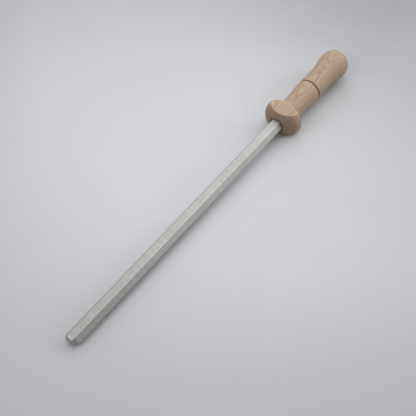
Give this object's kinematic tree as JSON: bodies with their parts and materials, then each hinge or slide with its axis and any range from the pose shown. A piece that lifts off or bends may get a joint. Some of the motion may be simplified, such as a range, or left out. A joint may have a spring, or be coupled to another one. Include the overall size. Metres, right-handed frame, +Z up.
{
  "type": "knife sharpening steel",
  "caption": "Hexagonal butcher's sharpening steel with a one-piece turned beech handle: domed guard with two flats, grooved grip and rounded knob.",
  "frame": {"origin": "centre of the bounding box, on the table that the steel lies on", "axes": "+X along the steel, from the free end of the bar to the knob of the handle; +Z up from the table; the steel's own axis rises 1.6 degrees towards the knob"},
  "size_m": [0.4284, 0.042, 0.0334],
  "materials": {
    "steel": "ground, satin grey, with fine marks across the flats",
    "beech": "turned and sanded, bare or lightly oiled",
    "resin": "cured, translucent amber, hidden in the bore"
  },
  "bodies": {
    "root": {"sharpening_rod": "steel", "handle": "beech", "resin_sleeve": "resin"}
  },
  "joints": []
}
